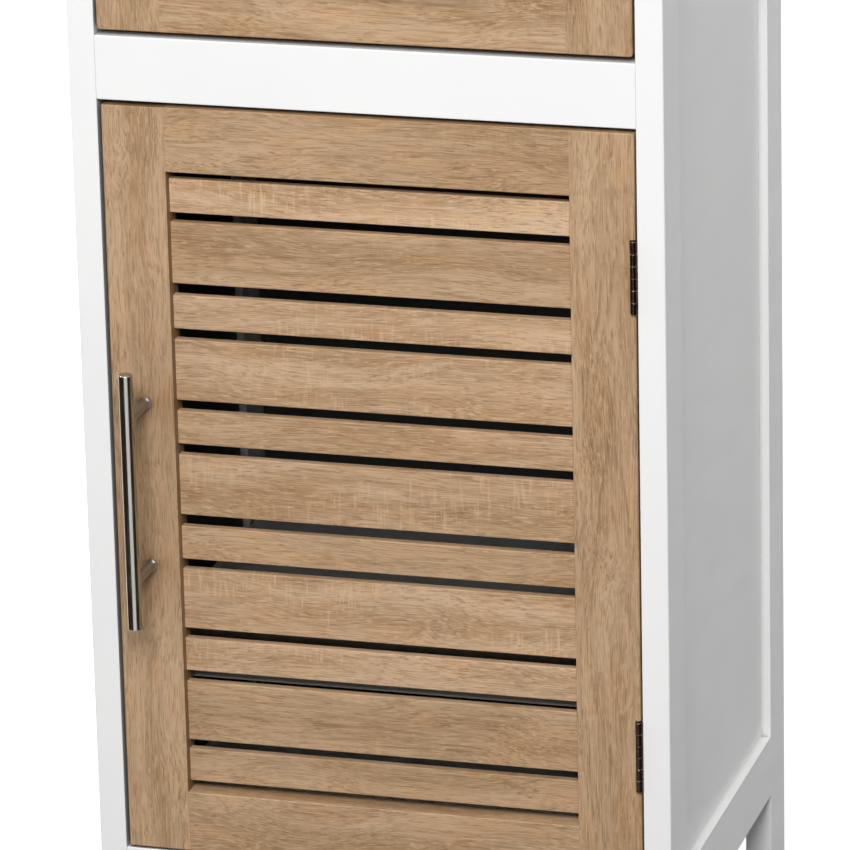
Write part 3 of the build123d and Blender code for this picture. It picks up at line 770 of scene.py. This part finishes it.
class CABINET_OT_case(Operator):
    """White lacquer on the legs, rails, side panels, top board and drawer box"""

    bl_idname = "cabinet.case"
    bl_label = "Lacquer the case"

    def execute(self, context):
        dress(in_slot("white_paint"), lacquer())
        dress(["left_side_panel"], side_panel("left_panel_skin", (1.0, 0.0, 0.0)))
        dress(["right_side_panel"], side_panel("right_panel_skin", (-1.0, 0.0, 0.0)))
        return {"FINISHED"}


class CABINET_OT_boards(Operator):
    """Near-black painted shade on the back's inner face; pale foil on the divider, floor and shelf
    and on the drawer's bottom
    """

    bl_idname = "cabinet.boards"
    bl_label = "Face the thin boards"

    def execute(self, context):
        settings = finish_settings()
        dark, pale = settings.inside[:], settings.shelving[:]
        # The back's inner face gets the near-black painted shade
        dress(["back_panel"], faced_board("board_raw_behind", (0.0, 1.0, 0.0), dark))
        below = faced_board("board_raw_below", (0.0, 0.0, -1.0), pale)
        dress(["divider_panel", "drawer_bottom"], below)
        dress(["floor_panel", "shelf"], plastic("pale_grey_foil", pale, 0.5, 0.003))
        return {"FINISHED"}


# Each piece of the door's frame: node, material, turn, place in the print, tone, strength of the
# growth lines, pale rays, and for the handle's stile the strength of the handle's painted shadow
DOOR_PRINTS = (
    ("door_left_stile", "oak_left_stile", UPRIGHT, (0.3, 1.7, 0.2), 0.98, 0.3, 0.1, 0.8),
    ("door_right_stile", "oak_right_stile", UPRIGHT, (2.1, 0.4, 0.9), 0.97, 0.4, 0.1),
    ("door_top_rail", "oak_top_rail", LEVEL, (1.3, 0.2, 2.6), 0.95, 0.3, 0.15),
    ("door_bottom_rail", "oak_bottom_rail", LEVEL, (0.8, 0.9, 1.9), 0.98, 0.3, 0.1),
)

# The same for the boards of the drawer's front
DRAWER_PRINTS = (
    ("drawer_front_board", "oak_drawer_board", LEVEL, (3.2, 0.5, 0.7), 1.0, 0.4, 0.15),
    ("drawer_front_left_stile", "oak_drawer_left_end", UPRIGHT, (1.9, 2.4, 0.6), 0.98, 0.3, 0.1),
    ("drawer_front_right_stile", "oak_drawer_right_end", UPRIGHT, (0.6, 1.2, 2.9), 0.93, 0.3, 0.1),
)


def foil(prints):
    """Gives each piece in a table of prints its own oak."""
    for name, *printed in prints:
        dress([name], oak(*printed))


class CABINET_OT_door_frame(Operator):
    """Oak foil on the door's stiles, with upright grain, and on its rails, with level grain"""

    bl_idname = "cabinet.door_frame"
    bl_label = "Foil the door frame"

    def execute(self, context):
        foil(DOOR_PRINTS)
        return {"FINISHED"}


# Each slat from the top down: its shade, how strong its growth lines are, and its pale rays
SLAT_PRINTS = (
    (1.19, 0.15, 0.55),
    (0.97, 0.4, 0.1),
    (1.14, 0.15, 0.4),
    (1.08, 0.35, 0.4),
    (1.04, 0.25, 0.1),
    (1.02, 0.4, 0.5),
    (0.97, 0.25, 0.1),
    (1.09, 0.25, 0.6),
    (1.13, 0.15, 0.5),
    (0.94, 0.45, 0.1),
    (0.94, 0.3, 0.1),
)
# How far the print moves on from one slat to the next
SLAT_SHIFT = (0.37, 0.23, 0.41)


def slats_from_the_top():
    names = [name for name in NODES if "slat" in name]
    return sorted(names, key=lambda name: -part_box(name)[0].z)


class CABINET_OT_slats(Operator):
    """Oak foil on every slat of the door, each cut from its own place in the print"""

    bl_idname = "cabinet.slats"
    bl_label = "Foil the slats"

    def execute(self, context):
        for i, (name, printed) in enumerate(zip(slats_from_the_top(), SLAT_PRINTS)):
            shift = [step * i for step in SLAT_SHIFT]
            dress([name], oak("oak_" + name.replace("door_", ""), LEVEL, shift, *printed))
        return {"FINISHED"}


class CABINET_OT_drawer_front(Operator):
    """Oak foil on the drawer front, level in the middle and upright at both ends"""

    bl_idname = "cabinet.drawer_front"
    bl_label = "Foil the drawer front"

    def execute(self, context):
        foil(DRAWER_PRINTS)
        return {"FINISHED"}


class CABINET_OT_handles(Operator):
    """Satin steel on both bar handles and their posts"""

    bl_idname = "cabinet.handles"
    bl_label = "Finish the handles"

    def execute(self, context):
        # The posts' steel is darkened to three quarters as painted shade
        dress(in_slot("handle_steel"), satin_steel("satin_steel_posts", FORWARDS, 0.75, 0.32))
        dress(["door_handle_bar"], satin_steel("satin_steel_upright", UPRIGHT))
        dress(["drawer_handle_bar"], satin_steel("satin_steel_level", LEVEL))
        return {"FINISHED"}


class CABINET_OT_hinges(Operator):
    """Dark bronze plating on the hinge leaves, knuckles and pins"""

    bl_idname = "cabinet.hinges"
    bl_label = "Plate the hinges"

    def execute(self, context):
        bronze = plated(
            "dark_bronze_plating", finish_settings().bronze[:], (0.5, 0.4, 0.3, 1.0), 0.3
        )
        dress(in_slot("hinge_bronze"), bronze)
        return {"FINISHED"}


class CABINET_OT_fixings(Operator):
    """Zinc on screws, shelf pins and strike plate, and raw beech on the dowels"""

    bl_idname = "cabinet.fixings"
    bl_label = "Finish the fixings"

    def execute(self, context):
        zinc = plated(
            "bright_zinc_plating", (0.55, 0.56, 0.57, 1.0), (0.75, 0.75, 0.76, 1.0), 0.28
        )
        dress(in_slot("zinc_steel"), zinc)
        dress(in_slot("dowel_beech"), raw_wood("raw_beech", (0.5, 0.32, 0.16, 1.0)))
        return {"FINISHED"}


class CABINET_OT_plastics(Operator):
    """White plastic on the glides and the catch, and smooth plastic on the runners"""

    bl_idname = "cabinet.plastics"
    bl_label = "Finish the plastics"

    def execute(self, context):
        moulded = plastic("moulded_white", (0.78, 0.78, 0.76, 1.0), 0.45, 0.0008)
        extruded = plastic("extruded_white", (0.7, 0.7, 0.68, 1.0), 0.35, 0.003)
        dress(in_slot("white_plastic"), moulded)
        dress(in_slot("runner_plastic"), extruded)
        return {"FINISHED"}


def seen_directly(sketch):
    """1 for rays from the camera, a mirror or glass, and 0 for the rays that light the object."""
    path = sketch.add("ShaderNodeLightPath").outputs
    seen = sketch.math("MAXIMUM", path["Is Camera Ray"], path["Is Glossy Ray"])
    return sketch.math("MAXIMUM", seen, path["Is Transmission Ray"])


def pale_floor(radius, shade, bounce):
    """A round floor that shows white, with its share of real light and shadow.

    Returns the collection of what the lamp over the floor lights, which is the floor alone.
    """
    mesh = bpy.data.meshes.new("studio_floor")
    shape = bmesh.new()
    bmesh.ops.create_circle(shape, cap_ends=True, segments=96, radius=radius)
    shape.to_mesh(mesh)
    shape.free()
    floor = bpy.data.objects.new("studio_floor", mesh)
    bpy.context.scene.collection.objects.link(floor)
    lit = bpy.data.collections.new("lit_by_floor_softbox")
    lit.objects.link(floor)

    material, sketch, shader = new_material("pale_floor")
    seen = seen_directly(sketch)
    skin = group_node(sketch, "Lacquer Skin", {
        "Vector": sketch.object_place(),
        "Base": sketch.mix(seen, [bounce] * 3 + [1.0], (0.95, 0.95, 0.95, 1.0)),
        "Ripple": 0.02,
        "Roughness": 0.75,
    })
    flat = sketch.add("ShaderNodeNewGeometry").outputs
    surface(sketch, shader, skin, FLOOR_RELIEF, flat)
    shader["Specular IOR Level"].default_value = FLOOR_GLOSS
    glow = sketch.add("ShaderNodeEmission", {"Strength": 1.0})
    share = sketch.math("MULTIPLY", seen, 1.0 - shade)
    both = sketch.add("ShaderNodeMixShader", {0: share})
    output = sketch.tree.nodes["Material Output"]
    sketch.put(both.inputs[1], shader["Base Color"].node.outputs["BSDF"])
    sketch.put(both.inputs[2], glow.outputs[0])
    sketch.put(output.inputs["Surface"], both.outputs[0])
    mesh.materials.append(material)
    return lit


def white_world(level):
    """Even light of the given level that the camera, mirrors and glass see as white."""
    world = bpy.data.worlds.new("studio_world")
    world.use_nodes = True
    world.node_tree.nodes.clear()
    sketch = Sketch(world.node_tree)
    output = sketch.add("ShaderNodeOutputWorld")
    strength = sketch.math("MAXIMUM", seen_directly(sketch), level)
    shown = sketch.add("ShaderNodeBackground", {"Strength": strength})
    shown.inputs["Color"].default_value = (1.0, 1.0, 1.0, 1.0)
    sketch.put(output.inputs["Surface"], shown.outputs[0])
    bpy.context.scene.world = world


def softbox(name, at, towards, size, power, spread=180.0):
    """A square lamp that faces a point, with its spread in degrees."""
    lamp = bpy.data.lights.new(name, "AREA")
    lamp.shape = "SQUARE"
    lamp.size = size
    lamp.energy = power
    lamp.spread = math.radians(spread)
    holder = bpy.data.objects.new(name, lamp)
    holder.location = at
    holder.rotation_euler = (Vector(towards) - Vector(at)).to_track_quat("-Z", "Y").to_euler()
    bpy.context.scene.collection.objects.link(holder)
    return holder


def black_flag(name, first, last):
    """A curved black card round the door handle, between two directions, that only mirrors see."""
    middle = sum(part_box("door_handle_bar"), Vector()) / 2
    reach = studio_settings().flag_reach
    mesh = bpy.data.meshes.new(name)
    shape = bmesh.new()
    rims = []
    for step in range(FLAG_STEPS + 1):
        turn = math.radians(first + (last - first) * step / FLAG_STEPS)
        x = middle.x + reach * math.sin(turn)
        y = middle.y - reach * math.cos(turn)
        rims.append([shape.verts.new((x, y, z)) for z in (0.0, CASE_HEIGHT)])
    for here, there in zip(rims, rims[1:]):
        shape.faces.new((here[0], there[0], there[1], here[1]))
    shape.to_mesh(mesh)
    shape.free()
    card = bpy.data.objects.new(name, mesh)
    bpy.context.scene.collection.objects.link(card)
    card.visible_camera = False
    card.visible_diffuse = False
    card.visible_transmission = False
    card.visible_shadow = False
    mesh.materials.append(plastic("black_card", (0.06, 0.038, 0.018, 1.0), 0.9, 0.01))


def photo_camera():
    """The camera of the photograph, placed from the case's own edges."""
    settings = studio_settings()
    lens = bpy.data.cameras.new("photo_camera")
    lens.lens = settings.lens
    lens.clip_end = 100.0
    holder = bpy.data.objects.new("photo_camera", lens)
    turned = (
        Matrix.Rotation(settings.yaw, 4, "Z")
        @ Matrix.Rotation(math.radians(90.0) - settings.pitch, 4, "X")
        @ Matrix.Rotation(settings.roll, 4, "Z")
    )
    corner = Vector((CASE_LEFT, CASE_FRONT, CROSS_RAIL_Z))
    holder.matrix_world = Matrix.Translation(corner + Vector(settings.stand)) @ turned
    bpy.context.scene.collection.objects.link(holder)
    bpy.context.scene.camera = holder


class CABINET_OT_studio(Operator):
    """Pale floor, white surroundings, soft lamps and the camera"""

    bl_idname = "cabinet.studio"
    bl_label = "Set up the studio"

    def execute(self, context):
        settings = studio_settings()
        middle = (0.0, 0.0, CASE_HEIGHT / 2)
        lit = pale_floor(settings.floor_radius, settings.floor_shade, settings.floor_bounce)
        white_world(settings.world_level)
        softbox("key_softbox", settings.key_place, middle, settings.key_size, settings.key_power)
        right = Vector(settings.side_place)
        left = Vector((-right.x, -right.y, right.z))
        softbox("right_softbox", right, middle, SIDE_SIZE, settings.side_power)
        softbox("left_softbox", left, middle, SIDE_SIZE, settings.side_power)
        hang = settings.floor_light_place
        below = (hang[0], hang[1] - FLOOR_LIGHT_LEAN, 0.0)
        over_floor = softbox(
            "floor_softbox", hang, below, FLOOR_LIGHT_SIZE, settings.floor_power, FLOOR_LIGHT_SPREAD
        )
        over_floor.light_linking.receiver_collection = lit
        softbox("back_softbox", settings.back_place, middle, BACK_SIZE, settings.back_power)
        for name, first, last in FLAGS:
            black_flag(name, first, last)
        photo_camera()
        context.scene.view_settings.view_transform = "Standard"
        return {"FINISHED"}


STEPS = (
    CABINET_OT_case,
    CABINET_OT_boards,
    CABINET_OT_door_frame,
    CABINET_OT_slats,
    CABINET_OT_drawer_front,
    CABINET_OT_handles,
    CABINET_OT_hinges,
    CABINET_OT_fixings,
    CABINET_OT_plastics,
    CABINET_OT_studio,
)


class CABINET_PT_panel(Panel):
    """The cabinet's settings and steps in the sidebar"""

    bl_idname = "CABINET_PT_panel"
    bl_label = "Bathroom Cabinet"
    bl_space_type = "VIEW_3D"
    bl_region_type = "UI"
    bl_category = "Cabinet"

    def draw(self, context):
        for settings in (context.scene.cabinet_finish, context.scene.cabinet_studio):
            column = self.layout.column()
            for name in settings.bl_rna.properties.keys():
                if name not in ("rna_type", "name"):
                    column.prop(settings, name)
        for step in STEPS:
            self.layout.operator(step.bl_idname)


CLASSES = (CabinetFinish, CabinetStudio, *STEPS, CABINET_PT_panel)


def register():
    for cls in CLASSES:
        bpy.utils.register_class(cls)
    bpy.types.Scene.cabinet_finish = PointerProperty(type=CabinetFinish)
    bpy.types.Scene.cabinet_studio = PointerProperty(type=CabinetStudio)


def unregister():
    del bpy.types.Scene.cabinet_studio
    del bpy.types.Scene.cabinet_finish
    for cls in reversed(CLASSES):
        bpy.utils.unregister_class(cls)


def main():
    register()
    bpy.ops.cabinet.case()
    bpy.ops.cabinet.boards()
    bpy.ops.cabinet.door_frame()
    bpy.ops.cabinet.slats()
    bpy.ops.cabinet.drawer_front()
    bpy.ops.cabinet.handles()
    bpy.ops.cabinet.hinges()
    bpy.ops.cabinet.fixings()
    bpy.ops.cabinet.plastics()
    bpy.ops.cabinet.studio()


if __name__ == "__main__":
    main()
